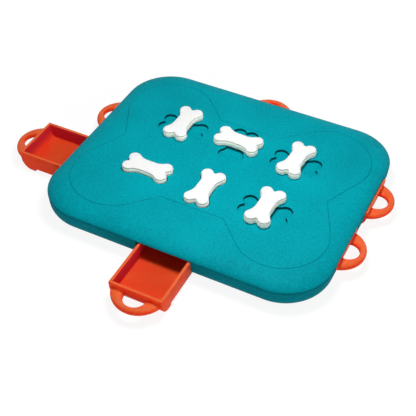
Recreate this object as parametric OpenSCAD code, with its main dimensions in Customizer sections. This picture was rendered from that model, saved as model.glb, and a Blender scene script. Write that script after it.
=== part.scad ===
// Dog puzzle feeder toy: a flat two-part housing with six pull-out treat drawers.
// Each drawer has a bone-shaped key on the lid above it. A key turned across its drawer
// stands on the lid and holds a locking blade behind the drawer; turned in line with
// the drawer it drops into a bone-shaped recess, and the drawer can be pulled out.
// Millimetres, +Z up, X along the long side. The origin is the middle of the housing on
// the surface that its rubber feet stand on.

/* [Housing] */
// Length of the housing along X
body_l = 300; // [280:1:330]
// Width of the housing along Y
body_w = 251; // [240:1:280]
// Radius of the housing's corners, seen from above
corner_r = 49; // [40:1:55]
// Height of the base tray, from its underside to the seam
tray_h = 21; // [20:0.5:24]
// Rise of the lid above the seam
cover_rise = 7.5; // [6:0.5:9]
// Width of the lid's rounded edge
edge_run = 20; // [14:1:26]
// Width of the tray's rolled lower edge
under_run = 12; // [8:1:14]
// Height of the tray's rolled lower edge
under_rise = 14; // [10:1:15]
// Wall thickness of the lid and the tray
wall = 2.5; // [2:0.1:3]
// Open seam between the lid and the tray
seam_gap = 0.5; // [0.3:0.1:0.8]

/* [Drawers] */
// Width of a drawer
drawer_w = 55; // [50:1:56]
// Length of a drawer's box, from its front face to its rear wall
drawer_l = 76; // [72:1:78]
// Height of a drawer's box
drawer_h = 17.5; // [16:0.5:18]
// Thickness of a drawer's walls
drawer_wall = 2.8; // [2:0.1:3.2]
// How far a drawer pulls out before its ears meet the tray's cheeks
drawer_travel = 54; // [45:0.5:54]
// How far the left front drawer stands open
left_front_open = 51; // [0:0.5:54]
// How far the front drawer stands open
front_open = 53.5; // [0:0.5:54]
// How far the right back drawer stands open
right_back_open = 2; // [0:0.5:54]
// Side play of a drawer in its bay
drawer_play = 1.5; // [0.6:0.05:1.5]
// How far the two open drawers stand off the middle of their bays
drawer_offset = 1.2; // [0:0.1:1.2]

/* [Handles] */
// Radius of the handle's outer edge
handle_r = 27; // [24:0.5:28]
// How far the centre of that edge lies behind the drawer's face
handle_back = 9; // [6:0.5:10]
// Radius of the finger hole
finger_r = 10.6; // [9:0.1:11]
// How far the centre of the finger hole lies in front of the drawer's face
finger_forward = 1.2; // [0.5:0.1:2]
// Height of the handle's section
handle_t = 6.8; // [6:0.1:8]

/* [Bone keys] */
// Distance of the left and right keys from the middle, along X
key_column = 64.5; // [60:0.5:68]
// Distance of each row of keys from the middle, along Y
key_row = 38.4; // [36:0.2:40]
// Distance of the knuckles from the middle of the bone, along it
knuckle_x = 18.45; // [16:0.05:20]
// Distance of the knuckles from the middle of the bone, across it
knuckle_y = 6.8; // [5:0.05:8]
// Radius of a knuckle
knuckle_r = 6.45; // [5:0.05:6.6]
// Half width of the bone's waist
waist = 8.4; // [6:0.1:9]
// Half length of the straight part of the bone's shaft
shaft = 4.5; // [1:0.5:7]
// Radius of the notch between the two knuckles of an end
notch_r = 1.5; // [1:0.1:2.5]
// Thickness of a bone
bone_t = 7.7; // [6:0.1:9]
// Depth of the recess that a bone drops into
recess_depth = 3.05; // [2:0.05:3.5]
// Gap around a bone in its recess
recess_gap = 0.6; // [0.5:0.1:1.2]
// Radius of the spindle under a bone
spindle_r = 4; // [3:0.1:4.5]
// Height of the lock lugs' tops; 19 makes them meet the blades of keys turned across
lug_top = 17.3; // [12:0.1:19]

/* [Feet] */
// How far the rubber feet stand proud of the tray
foot_h = 1.5; // [1:0.1:3]
// Radius of a rubber foot
foot_r = 9; // [6:0.5:12]

/* [Hidden] */
$fn = 64;

// How far a cutting block runs past the surface that it cuts
over = 1;
// How far a rib or a post runs into the wall that carries it
bite = 0.5;

// Heights of the housing
seam_z = foot_h + tray_h;
top_z = seam_z + cover_rise;
floor_t = 2;
floor_z = foot_h + floor_t;
inner_top_z = top_z - wall;

// The lid's inner face starts this far above the seam, and its rounded edge is narrower
inner_lift = 0.1;
inner_run = edge_run - 1;

// Locating skirt under the lid
skirt_gap = 0.3;
skirt_t = 1.5;
skirt_h = 2;

// Drawers, in a frame whose X points out of the housing from its edge
side_draft = 0.5;
face_draft = 0.05;
rim_z = seam_z - 0.6;
box_z = rim_z - drawer_h;
drawer_floor_t = 2;
lip_l = 17;
lip_gap = 0.8;
bay_w = drawer_w + 2 * drawer_play;
cheek_t = 2.4;
cheek_h = tray_h - 0.5;
cheek_inset = 0.4;
stop_x = -(drawer_l - drawer_wall - drawer_travel - 0.3);
ear_w = drawer_w + 7;
ear_z = [8, 20];
handle_z = rim_z - 8.3;
handle_root = 1.6;
tube_r = handle_t / 2;
// Curved foot of the front wall, inside: [x, height above the drawer's floor]
front_cove = [[-8.2, 0], [-5.6, 1.6], [-4, 5], [-drawer_wall, 9]];

// Lock: the tongue behind a drawer's rear wall carries two lugs
tongue_end = -92.5;
tongue_w = 24;
prong_t = 2.5;
lug_l = 3;
lug_gap = 12;

// Runners on the tray's floor under each drawer
runner_x = [tongue_end + 8, -lip_l - 2];
runner_y = [18, 21];
runner_h = box_z - 0.3 - foot_h;

// Keys
key_lift = 0.3;
bore_r = spindle_r + 0.06;
tub_z = top_z - recess_depth - 2;
tub_l = 2 * (knuckle_x + knuckle_r + recess_gap + 2);
tub_w = 2 * (knuckle_y + knuckle_r + recess_gap + 2);
boss_r = 7;
boss_z = seam_z - 1;
blade_l = 17;
blade_w = 5;
blade_t = 3.5;
blade_hub_r = 4.6;
blade_top = boss_z - 0.3;
tenon = 4.4;
tenon_play = 0.05;
blade_screw_r = 1;
blade_screw_l = 7;
blade_screw_head = [2.9, 1.6];
tenon_short = 0.3;
// A bone is moulded in two levels: the upper one is set in by this much
bone_step = 0.5;
bone_lower = 5.6;
key_bone = [knuckle_x, knuckle_y, knuckle_r, waist, shaft, notch_r, 8];
smallest_arc = 0.3;

// Large bone engraved in the lid: [x, y, radius] of a knuckle, of the fillet where the
// flank leaves the shaft, and of the notch between two knuckles
big_knuckle = [90, 58.5, 45.8];
big_waist = 67;
big_fillet = [32, big_waist + 4.5, 4.5];
big_notch = [121.2, 0, 7.3];
big_steps = 20;
fillet_steps = 4;
groove_w = 1.3;
groove_depth = 0.5;

// Screws that hold the housing together
screw_spots = [[88, 98], [88, -98], [-88, 98], [-88, -98], [30, 0], [-30, 0]];
post_r = 4;
post_z = seam_z - 1.5;
screw_r = 1.45;
screw_l = 22;
screw_head = [3, 1.2];
screw_z = foot_h + 0.3;
screw_play = 0.15;
head_play = 0.4;
head_room_z = foot_h + 1.5;
pilot_play = 0.05;
pilot_depth = 5;
// Cross slot of a screw: width, depth and share of the head that it crosses
cross_slot = [0.7, 0.7, 0.6];

// Rubber feet, pressed into round sinks in the tray's underside
foot_spots = [[-112, -84], [-112, 84], [112, -84], [112, 84], [0, 0]];
foot_play = 0.1;
foot_sink = 0.9;

teal = "#0a9aa6";
orange = "#ee5a2c";

// ---- outlines and profiles ----

// Points on an arc about c, from angle a0 to angle a1
function arc(c, r, a0, a1, steps) =
    [for (i = [0 : steps])
        let (a = a0 + (a1 - a0) * i / steps) [c[0] + r * cos(a), c[1] + r * sin(a)]];

// Quarter of a bone outline, from its waist to the middle of its end. A bone is
// [knuckle x, knuckle y, knuckle radius, half waist, half of its straight shaft, notch
// radius, arc steps]. Flank arcs join the shaft to the knuckles, and a notch arc joins the
// two knuckles of an end. grow pushes the edge outwards: past the notch's own radius the
// knuckles simply run into each other.
function bone_quarter(bone, grow) =
    let (k = [bone[0], bone[1]],
         r = bone[2],
         rise = bone[3] - k[1],
         run = k[0] - bone[4],
         flank_r = (run * run + rise * rise - r * r) / (2 * (r - rise)),
         flank_c = [bone[4], bone[3] + flank_r],
         flank_a = atan2(k[1] - flank_c[1], k[0] - flank_c[0]),
         notch_c = [k[0] + sqrt(pow(r + bone[5], 2) - pow(k[1], 2)), 0],
         notched = bone[5] - grow > smallest_arc,
         notch_a = notched ? atan2(-k[1], notch_c[0] - k[0]) : -asin(k[1] / (r + grow)),
         steps = bone[6])
    concat(arc(flank_c, flank_r - grow, -90, flank_a, steps / 2),
           [for (i = [1 : steps])
               arc(k, r + grow, flank_a + 180, notch_a, steps)[i]],
           notched ? [for (i = [1 : steps / 4])
               arc(notch_c, bone[5] - grow, notch_a + 180, 180, steps / 4)[i]] : []);

// Angle at which a straight line that crosses between circles a and b touches a
function crossing_angle(a, b, side) =
    let (way = [b[0] - a[0], b[1] - a[1]])
    atan2(way[1], way[0]) + side * acos((a[2] + b[2]) / norm(way));

// Quarter of the large bone, whose flanks are straight
function big_quarter(grow) =
    let (k = big_knuckle + [0, 0, grow],
         f = big_fillet - [0, 0, grow],
         n = big_notch - [0, 0, grow],
         to_waist = crossing_angle(k, f, -1),
         to_notch = crossing_angle(k, n, 1))
    concat(arc(f, f[2], -90, to_waist - 180, fillet_steps),
           arc(k, k[2], to_waist, to_notch, big_steps),
           arc(n, n[2], to_notch + 180, 180, fillet_steps));

// Whole outline: a quarter and its three mirror images, each shared point once
function four_quarters(q) =
    let (last = len(q) - 1,
         first = q[0][0] > 0 ? 0 : 1)
    concat([for (i = [0 : last]) q[i]],
           [for (i = [last - 1 : -1 : 0]) [q[i][0], -q[i][1]]],
           [for (i = [first : last]) [-q[i][0], -q[i][1]]],
           [for (i = [last - 1 : -1 : first]) [-q[i][0], q[i][1]]]);

module key_outline(grow = 0) polygon(four_quarters(bone_quarter(key_bone, grow)));

// Edge profiles: lists of [distance in from the widest edge, height], bottom to top.
arc_steps = 9;
function arc_angle(i) = 90 * i / arc_steps;
function cover_edge(inset, z0, run, rise) =
    [for (i = [0 : arc_steps])
        [inset + run * (1 - cos(arc_angle(i))), z0 + rise * sin(arc_angle(i))]];
function tray_edge(inset, z0, top) =
    concat([for (i = [0 : arc_steps])
                [inset + side_draft + under_run * (1 - sin(arc_angle(i))),
                 z0 + under_rise * (1 - cos(arc_angle(i)))]],
           [[inset, top]]);

// Solid whose edge follows a profile around the housing's rounded rectangle
module edged_slab(edge) {
    low = edge[0][1];
    high = edge[len(edge) - 1][1];
    corner = concat([[0, low]], [for (p = edge) [corner_r - p[0], p[1]]], [[0, high]]);
    quadrants = [[1, 1, 0], [-1, 1, 90], [-1, -1, 180], [1, -1, 270]];
    for (q = quadrants)
        translate([q[0] * (body_l / 2 - corner_r), q[1] * (body_w / 2 - corner_r), 0])
            rotate([0, 0, q[2]]) rotate_extrude(angle = 90) polygon(corner);
    rotate([90, 0, 0]) linear_extrude(body_w - 2 * corner_r, center = true)
        polygon(mirrored(edge, body_l / 2));
    rotate([90, 0, 90]) linear_extrude(body_l - 2 * corner_r, center = true)
        polygon(mirrored(edge, body_w / 2));
}
function mirrored(edge, half) =
    concat([for (p = edge) [half - p[0], p[1]]],
           [for (i = [len(edge) - 1 : -1 : 0]) [edge[i][0] - half, edge[i][1]]]);

// ---- where things stand ----

// Drawer bays: [edge point x, y, direction out]
function bay(name) =
    name == "left_front" ? [-body_l / 2, -key_row, 180] :
    name == "left_back" ? [-body_l / 2, key_row, 180] :
    name == "right_front" ? [body_l / 2, -key_row, 0] :
    name == "right_back" ? [body_l / 2, key_row, 0] :
    name == "front" ? [0, -body_w / 2, -90] : [0, body_w / 2, 90];
bays = ["left_front", "left_back", "right_front", "right_back", "front", "back"];

module at_bay(name) {
    b = bay(name);
    translate([b[0], b[1], 0]) rotate([0, 0, b[2]]) children();
}

// Keys: [x, y, turn of the bone's long axis, 1 if it stands on the lid or 0 if sunk]
function key(name) =
    name == "left_front" ? [-key_column, -key_row, 0, 0] :
    name == "left_back" ? [-key_column, key_row, 90, 1] :
    name == "right_front" ? [key_column, -key_row, 90, 1] :
    name == "right_back" ? [key_column, key_row, 90, 1] :
    name == "front" ? [0, -key_row, 90, 0] : [0, key_row, 0, 1];

module at_key(name) {
    k = key(name);
    drop = k[3] == 1 ? 0 : -recess_depth;
    translate([k[0], k[1], drop]) rotate([0, 0, k[2]]) children();
}

// ---- housing ----

module bay_opening() {
    translate([-lip_l - lip_gap, -bay_w / 2, 0])
        cube([lip_l + lip_gap + over, bay_w, seam_z + over]);
}

module bay_cheeks() {
    for (side = [-1, 1])
        translate([stop_x, side * (bay_w + cheek_t) / 2 - cheek_t / 2, foot_h])
            cube([-stop_x, cheek_t, cheek_h]);
}

module bay_runners() {
    for (side = [-1, 1])
        translate([runner_x[0], side > 0 ? runner_y[0] : -runner_y[1], foot_h])
            cube([runner_x[1] - runner_x[0], runner_y[1] - runner_y[0], runner_h]);
}

module base_tray() {
    color(teal) difference() {
        union() {
            difference() {
                edged_slab(tray_edge(0, foot_h, seam_z - seam_gap / 2));
                edged_slab(concat(tray_edge(wall, floor_z, seam_z), [[wall, seam_z + over]]));
            }
            intersection() {
                edged_slab(tray_edge(cheek_inset, foot_h, seam_z - seam_gap / 2));
                for (b = bays) at_bay(b) {
                    bay_cheeks();
                    bay_runners();
                }
            }
            for (s = screw_spots)
                translate([s[0], s[1], foot_h]) cylinder(r = post_r, h = post_z - foot_h);
        }
        for (b = bays) at_bay(b) bay_opening();
        for (s = screw_spots) translate([s[0], s[1], 0]) {
            cylinder(r = screw_r + screw_play, h = seam_z);
            cylinder(r = screw_head[0] + head_play, h = head_room_z);
        }
        for (f = foot_spots)
            translate([f[0], f[1], 0]) cylinder(r = foot_r + foot_play, h = foot_h + foot_sink);
    }
}

// Locating skirt under the lid, just inside the tray's wall, broken at the drawers
module cover_skirt() {
    outside = wall + skirt_gap;
    inside = outside + skirt_t;
    break_w = bay_w + 2 * (cheek_t + bite);
    difference() {
        edged_slab([[outside, seam_z - skirt_h], [outside, seam_z + skirt_t]]);
        edged_slab([[inside, seam_z - skirt_h - over], [inside, seam_z + skirt_t + over]]);
        for (b = bays) at_bay(b)
            translate([-corner_r, -break_w / 2, 0])
                cube([corner_r, break_w, seam_z + skirt_gap]);
    }
}

// Shallow line that follows the lid's surface, edge roll included
module engraved_bone() {
    difference() {
        translate([0, 0, seam_z + over]) linear_extrude(cover_rise) difference() {
            polygon(four_quarters(big_quarter(groove_w / 2)));
            polygon(four_quarters(big_quarter(-groove_w / 2)));
        }
        edged_slab(cover_edge(0, seam_z, edge_run, cover_rise - groove_depth));
    }
}

module top_cover() {
    color(teal) difference() {
        union() {
            difference() {
                edged_slab(cover_edge(0, seam_z + seam_gap / 2, edge_run,
                                      cover_rise - seam_gap / 2));
                edged_slab(concat([[wall, seam_z - over]],
                                  cover_edge(wall, seam_z + inner_lift, inner_run,
                                             cover_rise - wall - inner_lift)));
            }
            cover_skirt();
            for (b = bays) {
                k = key(b);
                translate([k[0], k[1], 0]) {
                    translate([0, 0, tub_z]) rotate([0, 0, bay(b)[2]])
                        translate([-tub_l / 2, -tub_w / 2, 0])
                            cube([tub_l, tub_w, inner_top_z - tub_z + bite]);
                    translate([0, 0, boss_z]) cylinder(r = boss_r, h = inner_top_z - boss_z);
                }
            }
            for (s = screw_spots)
                translate([s[0], s[1], post_z])
                    cylinder(r = post_r, h = inner_top_z + bite - post_z);
        }
        for (b = bays) {
            k = key(b);
            translate([k[0], k[1], 0]) {
                translate([0, 0, top_z - recess_depth]) rotate([0, 0, bay(b)[2]])
                    linear_extrude(recess_depth + over) key_outline(recess_gap);
                translate([0, 0, boss_z - over]) cylinder(r = bore_r, h = top_z);
            }
        }
        for (s = screw_spots)
            translate([s[0], s[1], post_z - over])
                cylinder(r = screw_r + pilot_play, h = pilot_depth + over);
        engraved_bone();
    }
}

// ---- drawers, drawn with X pointing out of the housing ----

module drawer_shell() {
    outer = concat([[-drawer_l, rim_z], [-drawer_l, box_z], [-lip_l, box_z],
                    [-lip_l, foot_h]],
                   [for (p = tray_edge(0, foot_h, seam_z - seam_gap / 2))
                       if (p[1] < rim_z) [-p[0], p[1]]],
                   [[-face_draft, rim_z]]);
    inner_floor = box_z + drawer_floor_t;
    inner = concat([[-drawer_l + drawer_wall, inner_floor]],
                   [for (p = front_cove) [p[0], inner_floor + p[1]]],
                   [[-drawer_wall, rim_z + over], [-drawer_l + drawer_wall, rim_z + over]]);
    difference() {
        rotate([90, 0, 0]) linear_extrude(drawer_w, center = true) polygon(outer);
        rotate([90, 0, 0]) linear_extrude(drawer_w - 2 * drawer_wall, center = true)
            polygon(inner);
    }
}

module drawer_lock_tongue() {
    reach = -tongue_end - drawer_l + bite;
    lug_w = (tongue_w - lug_gap) / 2;
    lug_h = lug_top - box_z;
    translate([tongue_end, -tongue_w / 2, box_z]) cube([reach, tongue_w, drawer_floor_t]);
    for (side = [-1, 1]) {
        translate([tongue_end, side * (tongue_w - prong_t) / 2 - prong_t / 2, box_z])
            cube([reach, prong_t, lug_h]);
        translate([tongue_end, side * (lug_gap + lug_w) / 2 - lug_w / 2, box_z])
            cube([lug_l, lug_w, lug_h]);
    }
}

// Ears on the rear wall that stop the drawer against the cheeks of its bay
module drawer_ears() {
    translate([-drawer_l, -ear_w / 2, ear_z[0]])
        cube([drawer_wall, ear_w, ear_z[1] - ear_z[0]]);
}

module drawer_handle() {
    edge_r = handle_r - tube_r;
    lip_r = finger_r + tube_r;
    translate([0, 0, handle_z]) intersection() {
        difference() {
            translate([-handle_back, 0, 0]) {
                cylinder(r = edge_r, h = handle_t, center = true);
                rotate_extrude() translate([edge_r, 0]) circle(tube_r, $fn = 32);
            }
            translate([finger_forward, 0, 0]) difference() {
                cylinder(r = lip_r, h = handle_t + 2 * over, center = true);
                rotate_extrude() translate([lip_r, 0]) circle(tube_r, $fn = 32);
            }
        }
        translate([-handle_root, -handle_r, -handle_t])
            cube([handle_r, 2 * handle_r, 2 * handle_t]);
    }
}

module drawer(name, open, offset_y) {
    color(orange) at_bay(name) translate([open, offset_y, 0]) {
        drawer_shell();
        drawer_lock_tongue();
        drawer_ears();
        drawer_handle();
    }
}

// ---- keys, blades and fasteners ----

module bone_key(name) {
    under = top_z + key_lift;
    tenon_z = blade_top - blade_t + tenon_short;
    color("#f4f4f0") at_key(name) difference() {
        union() {
            translate([0, 0, under]) linear_extrude(bone_lower) key_outline();
            translate([0, 0, under]) linear_extrude(bone_t) key_outline(-bone_step);
            translate([0, 0, blade_top]) cylinder(r = spindle_r, h = under - blade_top);
            translate([-tenon / 2, -tenon / 2, tenon_z]) cube([tenon, tenon, blade_t]);
        }
        translate([0, 0, tenon_z - over])
            cylinder(r = blade_screw_r + pilot_play, h = blade_screw_l + over);
    }
}

module lock_blade(name) {
    color("#d8dad6") at_key(name) translate([0, 0, blade_top - blade_t]) difference() {
        union() {
            translate([-(blade_l - blade_w) / 2, -blade_w / 2, 0])
                cube([blade_l - blade_w, blade_w, blade_t]);
            for (side = [-1, 1])
                translate([side * (blade_l - blade_w) / 2, 0, 0])
                    cylinder(r = blade_w / 2, h = blade_t);
            cylinder(r = blade_hub_r, h = blade_t);
        }
        translate([-tenon / 2 - tenon_play, -tenon / 2 - tenon_play, -over])
            cube([tenon + 2 * tenon_play, tenon + 2 * tenon_play, blade_t + 2 * over]);
    }
}

// Screw that points up: head is [radius, height]
module screw(shank_r, shank_l, head) {
    slot_l = 2 * head[0] * cross_slot[2];
    difference() {
        cylinder(r = head[0], h = head[1]);
        for (turn = [0, 90]) rotate([0, 0, turn])
            translate([-slot_l / 2, -cross_slot[0] / 2, -over])
                cube([slot_l, cross_slot[0], cross_slot[1] + over]);
    }
    translate([0, 0, head[1]]) cylinder(r = shank_r, h = shank_l);
}

module blade_screw(name) {
    color("silver") at_key(name)
        translate([0, 0, blade_top - blade_t - blade_screw_head[1]])
            screw(blade_screw_r, blade_screw_l, blade_screw_head);
}

module housing_screws() {
    color("silver") for (s = screw_spots)
        translate([s[0], s[1], screw_z]) screw(screw_r, screw_l, screw_head);
}

module foot(spot) {
    color("#3a3d40") translate([spot[0], spot[1], 0])
        cylinder(r = foot_r, h = foot_h + foot_sink);
}

base_tray();
top_cover();
drawer("left_front", left_front_open, drawer_offset);  // drawer_left_front
drawer("left_back", 0, 0);  // drawer_left_back
drawer("right_front", 0, 0);  // drawer_right_front
drawer("right_back", right_back_open, 0);  // drawer_right_back
drawer("front", front_open, drawer_offset);  // drawer_front
drawer("back", 0, 0);  // drawer_back
bone_key("left_front");  // bone_key_left_front
bone_key("left_back");  // bone_key_left_back
bone_key("right_front");  // bone_key_right_front
bone_key("right_back");  // bone_key_right_back
bone_key("front");  // bone_key_front
bone_key("back");  // bone_key_back
lock_blade("left_front");  // lock_blade_left_front
lock_blade("left_back");  // lock_blade_left_back
lock_blade("right_front");  // lock_blade_right_front
lock_blade("right_back");  // lock_blade_right_back
lock_blade("front");  // lock_blade_front
lock_blade("back");  // lock_blade_back
blade_screw("left_front");  // blade_screw_left_front
blade_screw("left_back");  // blade_screw_left_back
blade_screw("right_front");  // blade_screw_right_front
blade_screw("right_back");  // blade_screw_right_back
blade_screw("front");  // blade_screw_front
blade_screw("back");  // blade_screw_back
housing_screws();
foot(foot_spots[0]);  // foot_left_front
foot(foot_spots[1]);  // foot_left_back
foot(foot_spots[2]);  // foot_right_front
foot(foot_spots[3]);  // foot_right_back
foot(foot_spots[4]);  // foot_middle
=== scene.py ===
# %% [markdown]
# # A dog puzzle feeder toy
#
# The real toy is a flat plastic box with six orange drawers and six white bones on its
# lid. Everything is injection moulded, so every edge is softly rounded and every wall is
# thin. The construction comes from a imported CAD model, the frame: this file gives each
# piece its moulded form and its finish, and moves nothing.

# %% Load the frame
import bmesh
import bpy
import math
from mathutils import Matrix, Vector, geometry


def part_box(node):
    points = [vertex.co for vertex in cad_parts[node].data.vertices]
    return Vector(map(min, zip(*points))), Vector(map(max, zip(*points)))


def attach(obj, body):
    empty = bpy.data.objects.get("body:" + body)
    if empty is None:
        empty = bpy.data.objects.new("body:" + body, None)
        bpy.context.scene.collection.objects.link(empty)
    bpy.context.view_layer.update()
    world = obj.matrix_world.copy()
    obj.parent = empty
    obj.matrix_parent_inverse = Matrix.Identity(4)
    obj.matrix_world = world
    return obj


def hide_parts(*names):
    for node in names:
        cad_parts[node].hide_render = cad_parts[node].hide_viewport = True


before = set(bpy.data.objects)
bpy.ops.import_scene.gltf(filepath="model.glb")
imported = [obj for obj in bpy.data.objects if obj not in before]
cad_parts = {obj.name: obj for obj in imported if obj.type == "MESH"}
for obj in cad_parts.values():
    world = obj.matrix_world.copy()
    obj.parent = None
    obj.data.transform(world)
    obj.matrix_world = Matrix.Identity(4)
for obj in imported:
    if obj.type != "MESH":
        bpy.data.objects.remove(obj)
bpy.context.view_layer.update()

# %% [markdown]
# ## Sizes
#
# Blender counts in metres and a moulding is thought of in millimetres: MM turns one into
# the other. Large sizes are read from the frame's boxes, small ones are named here.

# %% Read the driving sizes
MM = 0.001
tray_low, tray_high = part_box("base_tray")
HALF_L, HALF_W = tray_high.x, tray_high.y
UNDERSIDE_Z = tray_low.z
HALF_SEAM = 0.25 * MM
SEAM_Z = tray_high.z + HALF_SEAM
TOP_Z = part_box("top_cover")[1].z
CORNER_R = 49 * MM
WALL = 2.5 * MM
print("housing in mm:", [round(v / MM, 1) for v in (2 * HALF_L, 2 * HALF_W, TOP_Z)])

# %% [markdown]
# ## The camera
#
# The toy is looked at from its front right and from well above, through a long lens, so
# that the far edge is only a little shorter than the near one. The distance and the focal
# length belong together: a longer lens further away would flatten the picture.

# %% Place the camera
PICTURE_PIXELS = 416
SENSOR_MM = 36
FOCAL_PIXELS = 893.05
AZIMUTH = math.radians(26.144)
ELEVATION = math.radians(43.952)
ROLL = math.radians(0.704)
DISTANCE = 898.67 * MM
AIM = Vector((1.46 * MM, -34.14 * MM, 1.5 * MM))


def linked(name, data):
    """New object in the scene."""
    made = bpy.data.objects.new(name, data)
    bpy.context.scene.collection.objects.link(made)
    return made


def place_camera():
    """Camera at DISTANCE from AIM, turned about its own line of sight by ROLL."""
    back = Vector((
        math.sin(AZIMUTH) * math.cos(ELEVATION), -math.cos(AZIMUTH) * math.cos(ELEVATION),
        math.sin(ELEVATION)))
    camera = linked("camera", bpy.data.cameras.new("camera"))
    camera.data.sensor_width = SENSOR_MM
    camera.data.lens = SENSOR_MM * FOCAL_PIXELS / PICTURE_PIXELS
    camera.data.clip_start = 10 * MM
    camera.rotation_mode = "QUATERNION"
    camera.location = AIM + back * DISTANCE
    roll_turn = Matrix.Rotation(ROLL, 4, back).to_quaternion()
    camera.rotation_quaternion = roll_turn @ (-back).to_track_quat("-Z", "Y")
    bpy.context.scene.camera = camera
    return camera


camera = place_camera()
print("lens in mm:", round(camera.data.lens, 1))

# %% [markdown]
# ## Finishes
#
# All the finishes are node trees. One small function adds a node with its properties and
# fills its sockets with values or other nodes' outputs. Colours are sRGB hex values, as a
# paint chart gives them, and one function turns them to linear.

# %% Helpers for finishes
def linear(hex_colour):
    """sRGB hex to the linear colour, with an alpha of 1, that a shader wants."""
    channels = [int(hex_colour[i:i + 2], 16) / 255 for i in (1, 3, 5)]
    return (*(c / 12.92 if c <= 0.04045 else ((c + 0.055) / 1.055) ** 2.4
              for c in channels), 1.0)


def add(tree, kind, inputs=None, **settings):
    """Adds a node; inputs maps a socket to a value, an output, a node or a list of nodes."""
    node = tree.nodes.new(kind)
    for name, value in settings.items():
        setattr(node, name, value)
    for key, value in (inputs or {}).items():
        for source in value if isinstance(value, list) else [value]:
            if isinstance(source, bpy.types.Node):
                source = source.outputs[0]
            if isinstance(source, bpy.types.NodeSocket):
                tree.links.new(source, node.inputs[key])
            else:
                node.inputs[key].default_value = source
    return node


def new_finish(name, *patterns):
    """Material, its tree, the place on the piece and a noise for each (mm, detail)."""
    material = bpy.data.materials.new(name)
    material.use_nodes = True
    tree = material.node_tree
    tree.nodes.clear()
    place = add(tree, "ShaderNodeTexCoord").outputs["Object"]
    noises = [add(tree, "ShaderNodeTexNoise", {"Vector": place, "Scale": 1 / (size * MM),
                                               "Detail": detail})
              for size, detail in patterns]
    return material, tree, place, *noises


# %% [markdown]
# Three things return in the finishes: a colour that wanders between two shades, a tint on
# some part of the surface, and the coat itself. The tint's mask can be a mark, which is a
# number stored on the mesh, or it can follow the way the surface faces.

# %% Helpers for colours and coats
def two_shades(tree, pattern, dark, light, low=0.0, high=1.0):
    """Colour from dark to light, as a pattern's value goes from low to high."""
    ramp = add(tree, "ShaderNodeValToRGB", {"Fac": pattern})
    for stop, position, shade in zip(ramp.color_ramp.elements, (low, high), (dark, light)):
        stop.position = position
        stop.color = linear(shade)
    return ramp


def tinted(tree, colour, mask, shade, blend="MIX"):
    """Colour with another shade where mask, a node or the name of a mark, is 1."""
    if isinstance(mask, str):
        mask = add(tree, "ShaderNodeAttribute", attribute_name=mask).outputs["Fac"]
    return add(tree, "ShaderNodeMix", {"Factor": mask, 6: colour, 7: linear(shade)},
               data_type="RGBA", blend_type=blend).outputs[2]


def upward(tree, low, high):
    """0 to 1, as the surface's normal goes from low to high: 0 is a wall, 1 a flat top."""
    facing = add(tree, "ShaderNodeTexCoord").outputs["Normal"]
    up = add(tree, "ShaderNodeSeparateXYZ", {0: facing}).outputs["Z"]
    return add(tree, "ShaderNodeMapRange", {"Value": up, "From Min": low, "From Max": high})


def coat(tree, sockets, skin=None, strength=0.1, depth=0.1):
    """Puts one shader, and the relief of a skin depth mm deep, on the surface."""
    if skin:
        sockets["Normal"] = add(tree, "ShaderNodeBump", {
            "Height": skin, "Strength": strength, "Distance": depth * MM})
    shader = add(tree, "ShaderNodeBsdfPrincipled", sockets)
    add(tree, "ShaderNodeOutputMaterial", {"Surface": shader})


# %% [markdown]
# ### Teal shell: moulded ABS from a spark-eroded mould
#
# Sparks roughen the mould's inside, so the plastic comes out matt, with a fine even grain
# that breaks the light into a soft speckle. The real grain, about 0.2 mm, is too fine to
# show from a metre away, so it is drawn at 2 mm. Steep walls get painted shade: their
# colour is multiplied by a grey as they turn steep, so the rolled edges darken more than
# the light alone makes them. The narrow walls of recesses and the bottom of the engraved
# line get painted shade too, a deep teal from a mark on the mesh.

# %% Make the teal finishes
GRAIN_MM, CLOUD_MM = 2, 40
GRAIN_SHARE = 0.75


def teal_shell(name, dark, light, steep_shade):
    """Grained teal in two shades, with painted shade: a grey multiplied in on steep walls."""
    material, tree, _, grain, cloud = new_finish(name, (GRAIN_MM, 3), (CLOUD_MM, 3))
    grain.inputs["Roughness"].default_value = 0.75
    mottle = add(tree, "ShaderNodeMix", {"Factor": GRAIN_SHARE, 2: cloud, 3: grain})
    colour = two_shades(tree, mottle, dark, light, 0.43, 0.57)
    # Painted shade: the colour is multiplied by the grey steep_shade as the surface turns
    # steep
    colour = tinted(tree, colour, upward(tree, 1.0, 0.4), steep_shade, "MULTIPLY")
    # Painted shade: a deep teal where the mesh is marked, on recess walls and the engraved
    # line's bottom
    colour = tinted(tree, colour, "recess_wall", "#004d55")
    coat(tree, {"Base Color": colour, "Roughness": 0.6, "IOR": 1.5,
                "Specular IOR Level": 0.03}, grain, strength=0.35, depth=0.12)
    return material


# A finish and the material slot of the record that it belongs to
TEAL = teal_shell("teal_abs_spark_eroded", "#0096a4", "#00a9b7", "#bfbfbf"), "teal_plastic"
# Painted shade: the tray gets a darker copy of the same teal, with less grey on its steep
# walls
TEAL_SHADED = (teal_shell("teal_abs_painted_shade_spark_eroded", "#008593", "#0092a0", "#e7e7e7"),
             "teal_plastic")
print("finishes:", TEAL[0].name, TEAL_SHADED[0].name)

# %% [markdown]
# ### Orange drawers: moulded polypropylene
#
# Polypropylene comes out of a smoother mould with a waxy satin face. Red light goes some
# millimetres into it, so thin walls look lit from inside: that is subsurface scattering,
# with a long radius for red and short ones for green and blue. A tub's inner walls get
# painted shade, a deeper red from a mark on the mesh. The tops of rims and rings get a
# painted sheen, a paler orange.

# %% Make the orange finish
FLOW_MM, WAX_MM = 18, 1.2
# Heights in which the painted sheen on upward tops fades in
SHEEN_FROM, SHEEN_TO = 12 * MM, 16 * MM
ORANGE_REACH = (7 * MM, 0.8 * MM, 0.4 * MM)


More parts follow.
